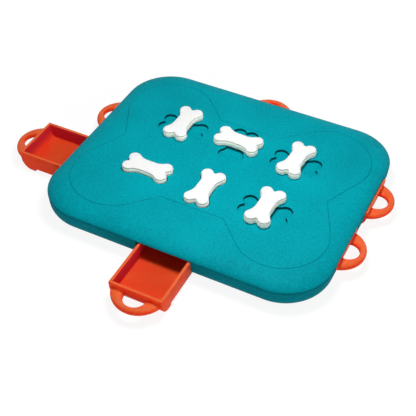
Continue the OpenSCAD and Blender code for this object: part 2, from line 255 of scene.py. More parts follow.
def orange_drawer():
    """Waxy orange, with painted shade on the tub's walls and a painted sheen on high tops."""
    material, tree, place, flow, skin = new_finish(
        "orange_polypropylene_satin", (FLOW_MM, 3), (WAX_MM, 1))
    colour = two_shades(tree, flow, "#ff4722", "#ff5529", 0.3, 0.7)
    # Painted shade: a deeper red on the tub's marked inner walls
    colour = tinted(tree, colour, "tub_wall", "#cb2b38")
    height = add(tree, "ShaderNodeSeparateXYZ", {0: place}).outputs["Z"]
    # Painted sheen: upward faces of rims and handles turn a paler orange
    raised = add(tree, "ShaderNodeMapRange", {
        "Value": height, "From Min": SHEEN_FROM, "From Max": SHEEN_TO})
    painted_sheen = add(tree, "ShaderNodeMath", {0: raised, 1: upward(tree, 0.5, 1.0)},
                 operation="MULTIPLY")
    colour = tinted(tree, colour, painted_sheen, "#ff7442")
    rough = add(tree, "ShaderNodeMapRange", {"Value": skin, "To Min": 0.36, "To Max": 0.46})
    coat(tree, {
        "Base Color": colour, "Roughness": rough, "IOR": 1.49, "Specular IOR Level": 0.04,
        "Subsurface Weight": 0.6, "Subsurface Radius": ORANGE_REACH,
        "Subsurface Scale": 1.0}, skin, strength=0.12)
    return material


ORANGE = orange_drawer(), "orange_plastic"
print("finish:", ORANGE[0].name)

# %% [markdown]
# ### White keys: moulded ABS, satin
#
# The bones are a plain white ABS, a little see-through, so light that enters the top
# leaves by the sides and softens their shade. The lower block is a touch warmer than the
# upper one, and the step between them is drawn as a grey-green line, because its own
# shadow is too narrow to show.

# %% Make the white finish
WHITE_REACH = (5 * MM, 5 * MM, 4.4 * MM)


def white_key():
    """Two levels of white with a grey-green line between them."""
    material, tree, _, skin = new_finish("white_abs_satin", (1.5, 2))
    colour = two_shades(tree, skin, "#fdfcf8", "#fffefb")
    colour = tinted(tree, colour, "lower_block", "#fff8e8")
    colour = tinted(tree, colour, "step_line", "#c2c4b6")
    coat(tree, {"Base Color": colour, "Roughness": 0.45, "IOR": 1.5,
                "Specular IOR Level": 0.3, "Subsurface Weight": 0.8,
                "Subsurface Radius": WHITE_REACH, "Subsurface Scale": 1.0}, skin)
    return material


WHITE = white_key(), "white_plastic"
print("finish:", WHITE[0].name)

# %% [markdown]
# ### Nylon blades, zinc-plated screws, rubber feet
#
# These work out of sight, inside and below. Natural nylon is a milky grey-white with faint
# flow marks. Zinc plating is a mirror gone dull in patches, so only its roughness wanders.
# Rubber is nearly black and matt, with a grey bloom in blotches.

# %% Make the finishes of the small parts
def small_part(name, pattern, sockets, shades=None, roughness=None, relief=0.0):
    """Finish whose blotches steer its colour, its roughness or its relief."""
    material, tree, _, blotch = new_finish(name, pattern)
    if shades:
        sockets["Base Color"] = two_shades(tree, blotch, *shades)
    if roughness:
        sockets["Roughness"] = add(tree, "ShaderNodeMapRange", {
            "Value": blotch, "To Min": roughness[0], "To Max": roughness[1]})
    coat(tree, sockets, blotch if relief else None, relief)
    return material


NYLON = (small_part("nylon_natural_moulded", (6, 2), {"Roughness": 0.5, "IOR": 1.53},
                    shades=("#d3d4cc", "#dfe0da")), "white_nylon")
ZINC = (small_part(
    "steel_zinc_plated", (0.8, 3), {"Base Color": linear("#c3c6c9"), "Metallic": 1.0},
    roughness=(0.22, 0.45)), "zinc_screw")
RUBBER = (small_part("rubber_moulded_matt", (2, 4), {"Roughness": 0.8, "IOR": 1.52},
                     shades=("#1b1d1f", "#34373a"), relief=0.3), "foot_rubber")
print("finishes:", NYLON[0].name, ZINC[0].name, RUBBER[0].name)

# %% [markdown]
# ## Outlines
#
# A rounded rectangle and a bone return again and again on this toy. Both are drawn as
# points by formulas that take how far the edge is pushed outwards, so a fillet is just
# the same outline drawn several times, each a little further out and a little higher.

# %% Draw a rounded rectangle
def arc(cx, cy, radius, start, stop, steps):
    """Points on an arc, angles in degrees."""
    angles = [math.radians(start + (stop - start) * i / steps) for i in range(steps + 1)]
    return [(cx + radius * math.cos(a), cy + radius * math.sin(a)) for a in angles]


def circle(cx, cy, radius, steps):
    """Closed circle, anticlockwise."""
    return arc(cx, cy, radius, 0, 360, steps)[:-1]


def rounded_rectangle(half_x, half_y, radius, steps=24, parts=16):
    """Closed outline, anticlockwise, with parts points along each straight side."""
    arcs = [
        arc(sx * (half_x - radius), sy * (half_y - radius), radius, turn, turn + 90, steps)
        for sx, sy, turn in ((1, 1, 0), (-1, 1, 90), (-1, -1, 180), (1, -1, 270))]
    points = []
    for corner, following in zip(arcs, arcs[1:] + arcs[:1]):
        (x0, y0), (x1, y1) = corner[-1], following[0]
        points += corner + [
            (x0 + (x1 - x0) * i / parts, y0 + (y1 - y0) * i / parts) for i in range(1, parts)]
    return points


def turned(points, angle, cx=0.0, cy=0.0):
    """Points turned by angle degrees about the origin, then moved."""
    c, s = math.cos(math.radians(angle)), math.sin(math.radians(angle))
    return [(cx + x * c - y * s, cy + x * s + y * c) for x, y in points]


print("points round the housing:", len(rounded_rectangle(HALF_L, HALF_W, CORNER_R)))

# %% [markdown]
# A small bone is one quarter, mirrored twice: half of a hollow flank, a knuckle, and half
# of the notch at the end. The large engraved bone has straight flanks instead, which
# touch the knuckle and a small fillet at the waist: they are the lines that cross over
# between two circles, so their ends follow from the circles alone.

# %% Draw the bones
KEY_BONE = [v * MM for v in (18.45, 6.8, 6.45, 8.4, 4.5, 1.5)]
KNUCKLE_STEPS = 16
# Circles (x, y, radius) in millimetres: a knuckle, the fillet at the waist, the notch
BIG_BONE = [(90, 58.5, 45.8), (32, 71.5, 4.5), (121.2, 0, 7.3)]


def four_quarters(quarter):
    """Whole outline from its first quarter, which ends on the X axis."""
    return (quarter + [(x, -y) for x, y in quarter[-2::-1]]
            + [(-x, -y) for x, y in quarter]
            + [(-x, y) for x, y in quarter[-2::-1]])


def bone_outline(grow=0.0):
    """Closed outline of a key's bone: knuckles, flank arcs and a notch at each end."""
    kx, ky, r, waist, shaft, notch = KEY_BONE
    rise, run = waist - ky, kx - shaft
    flank = (run ** 2 + rise ** 2 - r ** 2) / (2 * (r - rise))
    flank_y = waist + flank
    flank_a = math.degrees(math.atan2(ky - flank_y, kx - shaft))
    notch_x = kx + math.sqrt((r + notch) ** 2 - ky ** 2)
    notched = notch > grow + 0.02 * MM
    notch_a = (math.degrees(math.atan2(-ky, notch_x - kx)) if notched
               else -math.degrees(math.asin(ky / (r + grow))))
    quarter = arc(shaft, flank_y, flank - grow, -90, flank_a, KNUCKLE_STEPS // 2)
    quarter += arc(kx, ky, r + grow, flank_a + 180, notch_a, KNUCKLE_STEPS)[1:]
    if notched:
        quarter += arc(notch_x, 0, notch - grow, notch_a + 180, 180, 4)[1:]
    return four_quarters(quarter)


def crossing_angle(a, b, side):
    """Angle at which a straight line that crosses between circles a and b touches a."""
    dx, dy = b[0] - a[0], b[1] - a[1]
    return (math.degrees(math.atan2(dy, dx))
            + side * math.degrees(math.acos((a[2] + b[2]) / math.hypot(dx, dy))))


def big_bone_outline(grow=0.0):
    """Closed outline of the large bone, with straight flanks and small fillets."""
    knuckle, fillet, notch = ((x * MM, y * MM, r * MM + sign * grow)
                              for (x, y, r), sign in zip(BIG_BONE, (1, -1, -1)))
    to_waist = crossing_angle(knuckle, fillet, -1)
    to_notch = crossing_angle(knuckle, notch, 1)
    return four_quarters(
        arc(*fillet, -90, to_waist - 180, 6) + arc(*knuckle, to_waist, to_notch, 40)
        + arc(*notch, to_notch + 180, 180, 6))


print("points on a bone:", len(bone_outline()), "small,", len(big_bone_outline()), "large")

# %% [markdown]
# ## Sewing rings and height maps
#
# A moulded shell is mostly a height map: at each place on the plan it has one height.
# Delaunay triangulation fills a plan that holds any number of outlines, and it keeps
# each outline as real edges, so a recess gets a clean wall where a grid would be jagged.
# The rolled rim, which is too steep for that, is a stack of rings sewn to its neighbours.

# %% Build meshes from rings and height maps
def inside(point, loop):
    """Whether a point is inside a closed outline, by counting crossings."""
    crossings = sum((a.y > point.y) != (b.y > point.y)
                    and point.x < a.x + (point.y - a.y) / (b.y - a.y) * (b.x - a.x)
                    for a, b in zip(loop, loop[1:] + loop[:1]))
    return crossings % 2 == 1


class Sewing:
    """Collects points and faces for one mesh."""

    def __init__(self):
        self.points, self.faces, self.marks = [], [], {}

    def ring(self, outline, z, mark=None):
        """Adds a closed ring, at a height or a height for each x, y; returns its indices."""
        made = list(range(len(self.points), len(self.points) + len(outline)))
        self.points += [(x, y, z(x, y) if callable(z) else z) for x, y in outline]
        if mark:
            self.marks.setdefault(mark, []).extend(made)
        return made

    def circles(self, cx, cy, rings, steps):
        """Adds circles about one spot from (radius, z) pairs."""
        return [self.ring(circle(cx, cy, radius, steps), z) for radius, z in rings]

    def sew(self, *rings):
        """Quads from each ring to the next; all have the same number of points."""
        for low, high in zip(rings, rings[1:]):
            for i in range(len(low)):
                j = (i + 1) % len(low)
                self.faces.append((low[i], low[j], high[j], high[i]))

    def wrap(self, *rings):
        """Sews the rings and closes both ends with one face each."""
        self.sew(*rings)
        self.faces += [tuple(rings[0][::-1]), tuple(rings[-1])]

    def fill(self, rings, loose=(), upwards=True, holes=()):
        """Triangles inside the first ring, but not in the holes (centre, radius)."""
        used, edges = [], []
        for ring in rings:
            start = len(used)
            edges += [(start + i, start + (i + 1) % len(ring)) for i in range(len(ring))]
            used += ring
        used += range(len(self.points), len(self.points) + len(loose))
        self.points += loose
        flat = [Vector(self.points[i][:2]) for i in used]
        plan, _, triangles, origin, *_ = geometry.delaunay_2d_cdt(flat, edges, [], 0, 1e-8)
        if not all(origin):
            raise ValueError("outlines cross")
        index = [used[source[0]] for source in origin]
        edge = flat[:len(rings[0])]
        for triangle in triangles:
            centre = sum((plan[i] for i in triangle), Vector((0, 0))) / len(triangle)
            if inside(centre, edge) and not any((centre - Vector(c)).length < r
                                                for c, r in holes):
                face = [index[i] for i in triangle]
                self.faces.append(tuple(face if upwards else face[::-1]))

    def solid(self, *rings):
        """Sews the rings and fills both ends with triangles."""
        self.sew(*rings)
        self.fill([rings[0]], upwards=False)
        self.fill([rings[-1]])

    def mesh(self, name):
        """Mesh of what was collected, with its marks as attributes."""
        made = bpy.data.meshes.new(name)
        made.from_pydata(self.points, [], self.faces)
        for mark, members in self.marks.items():
            attribute = made.attributes.new(mark, "FLOAT", "POINT")
            for i in members:
                attribute.data[i].value = 1.0
        return made


# %% Run modifiers and turn the result into a mesh
def baked(mesh, *modifiers):
    """Mesh after modifiers: (kind, settings) or (tree, inputs) for Geometry Nodes."""
    helper = linked("helper", mesh)
    for kind, settings in modifiers:
        if isinstance(kind, str):
            modifier = helper.modifiers.new("step", kind)
            for name, value in settings.items():
                setattr(modifier, name, value)
            continue
        modifier = helper.modifiers.new("step", "NODES")
        modifier.node_group = kind
        for item in kind.interface.items_tree:
            if item.name in settings:
                modifier[item.identifier] = settings[item.name]
    depsgraph = bpy.context.evaluated_depsgraph_get()
    made = bpy.data.meshes.new_from_object(
        helper.evaluated_get(depsgraph), preserve_all_data_layers=True, depsgraph=depsgraph)
    bpy.data.objects.remove(helper)
    return made


def combined(mesh, other, operation):
    """Boolean of two closed meshes; operation is UNION or DIFFERENCE."""
    tool = linked("tool", other)
    made = baked(mesh, ("BOOLEAN", {"object": tool, "operation": operation,
                                    "solver": "EXACT", "use_self": True}))
    bpy.data.objects.remove(tool)
    return made


def new_tree(name, sizes):
    """Geometry Nodes tree with named size inputs; returns it and its inputs."""
    tree = bpy.data.node_groups.new(name, "GeometryNodeTree")
    tree.interface.new_socket("Geometry", in_out="OUTPUT", socket_type="NodeSocketGeometry")
    for size, kind in {"Geometry": "Geometry", **sizes}.items():
        tree.interface.new_socket(size, in_out="INPUT", socket_type="NodeSocket" + kind)
    return tree, add(tree, "NodeGroupInput").outputs


SMOOTH_BELOW = math.radians(38)


def add_piece(name, mesh, body, finish, *replaced):
    """Puts a finished mesh on its body in place of CAD nodes, smooth but at sharp edges."""
    material, slot = finish
    mesh.materials.clear()
    mesh.materials.append(material)
    mesh.polygons.foreach_set("use_smooth", [True] * len(mesh.polygons))
    mesh.set_sharp_from_angle(angle=SMOOTH_BELOW)
    piece = linked(name, mesh)
    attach(piece, body)
    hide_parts(*replaced)


# %% [markdown]
# ## The lid
#
# The lid is one thin shell. Its nearly flat face rolls over at the edge on a curve halfway
# between an ellipse and a flat arc. It carries a shallow engraved line in the shape of a
# large bone, and six recesses that the small bones drop into. Below are a pad under each
# recess, a boss for each spindle and posts for the screws.

# %% Where keys and drawers stand
def middle(node):
    """Middle of a CAD node's box, in plan."""
    low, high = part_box(node)
    return (low.x + high.x) / 2, (low.y + high.y) / 2


def put(mesh, spot, angle):
    """Turns a mesh about the Z axis, in degrees, and moves it to a spot on the plan."""
    mesh.transform(
        Matrix.Translation((*spot, 0)) @ Matrix.Rotation(math.radians(angle), 4, "Z"))
    return mesh


KEY_X, KEY_Y = middle("bone_key_right_front")[0], middle("bone_key_right_back")[1]
# Which side along X and Y, and the way that the drawer comes out, in degrees
SIDES = {"left_front": (-1, -1, 180), "left_back": (-1, 1, 180), "right_front": (1, -1, 0),
         "right_back": (1, 1, 0), "front": (0, -1, -90), "back": (0, 1, 90)}
KEYS = {name: (x * KEY_X, y * KEY_Y) for name, (x, y, _) in SIDES.items()}
BAYS = {name: (x * HALF_L, y * (KEY_Y if x else HALF_W), angle)
        for name, (x, y, angle) in SIDES.items()}
ALONG_X = set()
for name in KEYS:
    low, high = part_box("bone_key_" + name)
    if high.x - low.x > high.y - low.y:
        ALONG_X.add(name)
SCREWS = [(x * MM, y * MM) for x, y in
          ((88, 98), (88, -98), (-88, 98), (-88, -98), (30, 0), (-30, 0))]
print("keys lying along X:", sorted(ALONG_X))

# %% Shape the lid's rolled edge
LID_FOOT_Z = SEAM_Z + HALF_SEAM
ROLL_RUN = 20 * MM
ROLL_RISE = TOP_Z - LID_FOOT_Z
INNER_RUN = ROLL_RUN - 1 * MM
INNER_TOP_Z = TOP_Z - WALL
INNER_RISE = INNER_TOP_Z - SEAM_Z - 0.1 * MM
# Rings make the shell out to here, and the height map makes the rest
MAP_INSET = 8 * MM
SEAM_FILLET = 0.5 * MM
ROLL_RINGS, INNER_RINGS = 8, 5


def inset_of(x, y):
    """Distance of a place on the plan from the housing's edge."""
    dx = abs(x) - (HALF_L - CORNER_R)
    dy = abs(y) - (HALF_W - CORNER_R)
    outside = math.hypot(max(dx, 0), max(dy, 0))
    return CORNER_R - outside - min(max(dx, dy), 0)


def dome_z(inset):
    """Height of the lid's upper side: halfway between an ellipse and a flat arc."""
    left = max(0.0, 1 - inset / ROLL_RUN)
    ellipse = ROLL_RISE * math.sqrt(1 - left ** 2)
    arc_r = (ROLL_RUN ** 2 + ROLL_RISE ** 2) / (2 * ROLL_RISE)
    flat = ROLL_RISE - arc_r + math.sqrt(arc_r ** 2 - (left * ROLL_RUN) ** 2)
    return LID_FOOT_Z + (ellipse + flat) / 2


def inner_z(inset):
    """Height of the lid's lower side at that inset."""
    left = min(1.0, max(0.0, 1 - (inset - WALL) / INNER_RUN))
    return SEAM_Z + 0.1 * MM + INNER_RISE * math.sqrt(1 - left ** 2)


def edge_ring(inset):
    """The housing's outline pushed inwards."""
    return rounded_rectangle(HALF_L - inset, HALF_W - inset, CORNER_R - inset)


def grid(spacing, keep):
    """Loose places on a square grid, where keep(x, y) is true."""
    nx, ny = int(HALF_L / spacing), int(HALF_W / spacing)
    return [(i * spacing, j * spacing) for i in range(-nx, nx + 1)
            for j in range(-ny, ny + 1) if keep(i * spacing, j * spacing)]


# %% [markdown]
# The engraved line is a V with a rounded bottom, 0.44 mm deep. A recess is a little
# larger than its bone, with softened edges above and below. Only the steep rings of its
# wall, and the line's deepest ring, carry the mark for painted shade, a deep teal.

# %% Shape the recesses and the engraved line
RECESS_GROW = 0.6 * MM
RECESS_DEPTH = 3.05 * MM
# (outwards from the recess's wall, depth) in mm, from the lid's face down to the floor
RECESS_RINGS = [(0.6, 0), (0.4, 0), (0.2, 0.05), (0.06, 0.2), (0, 0.4), (-0.05, 2.45),
                (-0.15, 2.8), (-0.4, 3.0), (-0.75, 3.05)]
WALL_RINGS = range(3, 7)
GROOVE_RINGS = [(0.85, 0), (0.65, 0), (0.4, 0.14), (0.1, 0.4), (0, 0.44), (-0.1, 0.4),
                (-0.4, 0.14), (-0.65, 0), (-0.85, 0)]
BORE_R = 4.06 * MM
BORE_STEPS = 32
# What the fill leaves open: a hair smaller than the bores' rings
BORES = [(spot, BORE_R * 0.995) for spot in KEYS.values()]
# Loose points keep this far from every outline, and the flat part needs few of them
CLEAR_OF_LINES = 1.8 * MM
FLAT_INSET, KEY_HALF = 22 * MM, 22 * MM
ROLLED_GRID, FLAT_GRID = 2.5 * MM, 6 * MM


def near(x, y):
    """Cell of a coarse grid that a place falls in."""
    return round(x / CLEAR_OF_LINES), round(y / CLEAR_OF_LINES)


def lid_face(sewing, rolled):
    """Upper side of the lid inside the ring rolled; returns the bores' top rings."""
    rings = [rolled]
    for out, depth in GROOVE_RINGS:
        # The line's deepest ring carries the mark for painted shade
        rings.append(sewing.ring(
            big_bone_outline(out * MM), lambda x, y: dome_z(inset_of(x, y)) - depth * MM,
            None if out else "recess_wall"))
    bores = {}
    for name, (kx, ky) in KEYS.items():
        for n, (out, depth) in enumerate(RECESS_RINGS):
            outline = turned(bone_outline(RECESS_GROW + out * MM), BAYS[name][2], kx, ky)
            # The steep rings of the recess wall carry the mark for painted shade
            rings.append(sewing.ring(
                outline, TOP_Z - depth * MM, "recess_wall" if n in WALL_RINGS else None))
        floor = TOP_Z - RECESS_DEPTH
        rings += sewing.circles(
            kx, ky, ((BORE_R + 0.5 * MM, floor), (BORE_R, floor - 0.4 * MM)), BORE_STEPS)
        bores[name] = rings[-1]
    taken = {near(*sewing.points[i][:2]) for ring in rings for i in ring}

    def clear(x, y):
        """Whether no outline passes close to a place."""
        cx, cy = near(x, y)
        return all((cx + i, cy + j) not in taken for i in (-1, 0, 1) for j in (-1, 0, 1))

    places = grid(ROLLED_GRID, lambda x, y: clear(x, y)
                  and MAP_INSET + 1 * MM < inset_of(x, y) < FLAT_INSET)
    places += grid(
        FLAT_GRID, lambda x, y: clear(x, y) and inset_of(x, y) >= FLAT_INSET
        and all(max(abs(x - kx), abs(y - ky)) > KEY_HALF for kx, ky in KEYS.values()))
    loose = [(x, y, dome_z(inset_of(x, y))) for x, y in places]
    sewing.fill(rings, loose, True, BORES)
    return bores


print("rings down each recess:", len(RECESS_RINGS))

# %% Shape the lid's underside
PAD_Z = TOP_Z - RECESS_DEPTH - 2 * MM
PAD_HALF = (27.5 * MM, 15.85 * MM)
BOSS_R = 7 * MM
BOSS_Z = SEAM_Z - 1 * MM
POST_R = 4 * MM
POST_Z = SEAM_Z - 1.5 * MM
PILOT_R = 1.5 * MM
PILOT_DEPTH = 5 * MM
STEEP = 0.12 * MM
BAND_GRID, BAND = 4 * MM, (9.5 * MM, 23 * MM)


def lid_underside(sewing, rolled, bores):
    """Lower side of the lid inside the ring rolled, open at the bores."""
    rings = [rolled]
    for name, (kx, ky) in KEYS.items():
        for out, z in ((STEEP, INNER_TOP_Z), (0, PAD_Z)):
            pad = rounded_rectangle(PAD_HALF[0] + out, PAD_HALF[1] + out, 3 * MM, 6, 4)
            rings.append(sewing.ring(turned(pad, BAYS[name][2], kx, ky), z))
        rings += sewing.circles(
            kx, ky, ((BOSS_R + STEEP, PAD_Z), (BOSS_R, BOSS_Z), (BORE_R, BOSS_Z)), BORE_STEPS)
        sewing.sew(rings[-1], bores[name])
    for x, y in SCREWS:
        rings += sewing.circles(x, y, (
            (POST_R + STEEP, INNER_TOP_Z), (POST_R, POST_Z), (PILOT_R, POST_Z),
            (PILOT_R - STEEP, POST_Z + PILOT_DEPTH)), 16)
    band = grid(BAND_GRID, lambda x, y: BAND[0] < inset_of(x, y) < BAND[1])
    loose = [(x, y, inner_z(inset_of(x, y))) for x, y in band]
    sewing.fill(rings, loose, False, BORES)


def lid_mesh():
    """The whole lid: rings over the edge, then a height map above and one below."""
    sewing = Sewing()
    profile = [(WALL + 0.05 * MM, SEAM_Z + 0.6 * MM), (WALL, LID_FOOT_Z),
               (SEAM_FILLET, LID_FOOT_Z), (0.15 * MM, LID_FOOT_Z + 0.15 * MM)]
    start = math.degrees(math.acos(1 - 0.05 * MM / ROLL_RUN))
    stop = math.degrees(math.acos(1 - MAP_INSET / ROLL_RUN))
    for i in range(ROLL_RINGS + 1):
        angle = math.radians(start + (stop - start) * i / ROLL_RINGS)
        inset = ROLL_RUN * (1 - math.cos(angle))
        profile.append((inset, dome_z(inset)))
    for i in range(1, INNER_RINGS + 1):
        inset = WALL + (MAP_INSET + 0.5 * MM - WALL) * (i / INNER_RINGS) ** 2
        profile.insert(0, (inset, inner_z(inset)))
    rings = [sewing.ring(edge_ring(inset), z) for inset, z in profile]
    sewing.sew(*rings)
    lid_underside(sewing, rings[0], lid_face(sewing, rings[-1]))
    return sewing.mesh("lid")


lid = lid_mesh()
add_piece("lid", lid, "housing", TEAL, "top_cover")
print("lid:", len(lid.polygons), "faces")

# %% [markdown]
# ## The bone keys
#
# Each bone is moulded in two levels: a lower block with a rounded lower edge and, set in
# by half a millimetre behind a narrow groove, an upper one with a rounded top edge. Under
# the bone is its spindle, which runs down through the lid and ends in a square tenon, so
# that the locking blade below can't slip round on it.

# %% Shape a bone key
BONE_T = 7.7 * MM
SPINDLE_R = 4 * MM
TENON = 4.4 * MM
TENON_L = 3.5 * MM
CHAMFER, OVERLAP = 0.3 * MM, 0.5 * MM
# (outwards, height above the underside) in millimetres
BONE_RINGS = [
    (-1.7, 0), (-1.1, 0.12), (-0.55, 0.5), (-0.18, 1.1), (0, 1.9), (-0.05, 5.2), (-0.12, 5.5),
    (-0.35, 5.75), (-0.75, 6.0), (-0.9, 6.2), (-0.85, 6.5), (-0.55, 7.05), (-0.5, 7.3),
    (-0.58, 7.55), (-0.75, 7.68), (-0.95, 7.7), (-1.4, 7.7)]
STEP_LINE = range(8, 12)
# Hands never leave a key quite square: degrees that each one is off
OFF_SQUARE = {"left_front": -1.0, "left_back": -0.6, "right_front": -0.8,
              "right_back": -3.0, "front": -0.8, "back": -2.4}


def on_key(name, mesh):
    """Puts a mesh, made with the bone along X, at a key's place on the lid."""
    return put(mesh, KEYS[name], (0 if name in ALONG_X else 90) + OFF_SQUARE[name])


def disc(sewing, rings, steps=24, cx=0.0, cy=0.0):
    """Closed turned solid from (radius, z) rings, listed from the bottom up."""
    sewing.solid(*sewing.circles(cx, cy, rings, steps))


def block(sewing, low, high):
    """Closed box between two corners."""
    plan = [(low[0], low[1]), (high[0], low[1]), (high[0], high[1]), (low[0], high[1])]
    bottom, top = sewing.ring(plan, low[2]), sewing.ring(plan, high[2])
    sewing.wrap(bottom, top)


def bone_mesh(name):
    """A bone with its spindle, at its place on the lid."""
    low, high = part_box("bone_key_" + name)
    under = high.z - BONE_T
    sewing = Sewing()
    rings = [sewing.ring(bone_outline(out * MM), under + height * MM,
                         "lower_block" if n < STEP_LINE[0] else
                         "step_line" if n in STEP_LINE else None)
             for n, (out, height) in enumerate(BONE_RINGS)]
    sewing.solid(*rings)
    shoulder = low.z + TENON_L - CHAMFER
    disc(sewing, [(SPINDLE_R - CHAMFER, shoulder), (SPINDLE_R, shoulder + CHAMFER),
                  (SPINDLE_R, under + OVERLAP)])
    half = TENON / 2
    block(sewing, (-half, -half, low.z), (half, half, shoulder + OVERLAP))
    return on_key(name, sewing.mesh("bone_" + name))


for key_name in KEYS:
    add_piece("bone_" + key_name, bone_mesh(key_name), "key_" + key_name, WHITE,
              "bone_key_" + key_name)
print("bones made:", len(KEYS))

# %% [markdown]
# ## The drawers
#
# All six drawers come from one mould, so one mesh is made in a frame of its own, whose X
# points out of the housing, and is then turned into each bay. The tub is built from its
# side profile. Its front face continues the tray's curve, so that a shut drawer lies
# flush. The Bevel modifier rounds its edges, more on the inside, where a mould needs it.

# %% Shape the drawer's tub
# All in millimetres
DRAFT = 0.5
UNDER_RUN, UNDER_RISE = 12, 14
RIM_Z, BOX_Z, FLOOR_Z, LIP_Z = 21.9, 4.4, 6.4, round(UNDERSIDE_Z / MM, 2)
DRAWER_L, DRAWER_W, DRAWER_WALL, LIP_L = 76, 55, 2.8, 17
COVE_RUN, COVE_RISE = 5.4, 9
BEVEL_W, OUTSIDE_SHARE = 1.0, 0.45
BEVELLED_ABOVE = math.radians(40)


def quarter(inset, z0, run, rise, steps):
    """Quarter of an ellipse: (inwards, height) in mm, from the bottom up."""
    angles = [math.radians(90 * i / steps) for i in range(steps + 1)]
    return [(inset + run * (1 - math.sin(a)), z0 + rise * (1 - math.cos(a))) for a in angles]


def under_curve(inset, z0):
    """The tray's rolled lower edge, as a quarter."""
    return quarter(inset + DRAFT, z0, UNDER_RUN, UNDER_RISE, 16)


def drawer_tub():
    """The open box with its front lip, from an outer and an inner side profile."""
    outer = [(-DRAWER_L, RIM_Z), (-DRAWER_L, BOX_Z), (-LIP_L, BOX_Z), (-LIP_L, LIP_Z)]
    outer += [(-x, z) for x, z in under_curve(0, LIP_Z)] + [(-0.05, RIM_Z)]
    inner = [(-DRAWER_L + DRAWER_WALL, RIM_Z), (-DRAWER_L + DRAWER_WALL, FLOOR_Z)]
    inner += [(-x, z) for x, z in quarter(DRAWER_WALL, FLOOR_Z, COVE_RUN, COVE_RISE, 10)]
    inner.append((-DRAWER_WALL, RIM_Z))
    shape = bmesh.new()
    weight = shape.edges.layers.float.new("bevel_weight_edge")
    corners = []
    for profile, half, outwards in ((outer, DRAWER_W / 2, True),
                                    (inner, DRAWER_W / 2 - DRAWER_WALL, False)):
        sides = [[shape.verts.new((x * MM, side * half * MM, z * MM)) for x, z in profile]
                 for side in (-1, 1)]
        shape.faces.new(sides[0] if outwards else sides[0][::-1])
        shape.faces.new(sides[1][::-1] if outwards else sides[1])
        for i in range(len(profile) - 1):
            face = [sides[0][i], sides[1][i], sides[1][i + 1], sides[0][i + 1]]
            shape.faces.new(face if outwards else face[::-1])
        corners.append([sides[0][0], sides[0][-1], sides[1][-1], sides[1][0]])
    for i in range(4):
        j = (i + 1) % 4
        shape.faces.new((corners[0][i], corners[0][j], corners[1][j], corners[1][i]))
    bmesh.ops.recalc_face_normals(shape, faces=shape.faces)
    for edge in shape.edges:
        if edge.calc_face_angle(0) > BEVELLED_ABOVE:
            edge[weight] = OUTSIDE_SHARE if edge.is_convex else 1.0
    mesh = bpy.data.meshes.new("tub")
    shape.to_mesh(mesh)
    shape.free()
    return baked(mesh, ("BEVEL", {"width": BEVEL_W * MM, "segments": 3,
                                  "limit_method": "WEIGHT", "use_clamp_overlap": True}))


tub = drawer_tub()
print("tub:", len(tub.polygons), "faces")

# %% [markdown]
# ### The handle: a shape that follows a rule
#
# The handle is a loop between two circles, the finger hole and the outer edge, which
# don't share a centre: so it is slim at its tip and flares where it meets the drawer. Its
# section is a superellipse, rounder than a slab and flatter than a rod. Geometry Nodes
# bend a flat grid into it: one side runs round the loop, the other round the section.

# %% Grow the handle from a grid
HANDLE_Z = RIM_Z - 8.3
HANDLE = {
    "Outer Radius": 27 * MM, "Outer Centre": -9 * MM, "Hole Radius": 10.6 * MM,
    "Hole Centre": 1.2 * MM, "Thickness": 6.8 * MM, "Root": -1.6 * MM, "Squareness": 2.4}
LOOP_POINTS, SECTION_POINTS = 65, 29
# A rule is a list of Math nodes: name, operation, inputs. The grid gives loop and section,
# which both run from -1 to 1.
RIM_RULE = [
    ("reach", "SUBTRACT", "Root", "centre"), ("ratio", "DIVIDE", "reach", "radius"),
    ("widest", "ARCCOSINE", "ratio"), ("angle", "MULTIPLY", "widest", "loop"),
    ("cosine", "COSINE", "angle"), ("sine", "SINE", "angle"),
    ("x", "MULTIPLY_ADD", "cosine", "radius", "centre"), ("y", "MULTIPLY", "sine", "radius")]
SECTION_RULE = [
    ("turn", "MULTIPLY", "section", math.pi), ("across", "COSINE", "turn"),
    ("up", "SINE", "turn"), ("width", "ABSOLUTE", "across"), ("height", "ABSOLUTE", "up"),
    ("width_power", "POWER", "width", "Squareness"),
    ("height_power", "POWER", "height", "Squareness"),
    ("total", "ADD", "width_power", "height_power"), ("root", "DIVIDE", -1.0, "Squareness"),
    ("swell", "POWER", "total", "root"), ("sideways", "MULTIPLY", "across", "swell"),
    ("share", "MULTIPLY_ADD", "sideways", 0.5, 0.5), ("lift", "MULTIPLY", "up", "swell"),
    ("half", "MULTIPLY", "Thickness", 0.5), ("rise", "MULTIPLY", "lift", "half")]


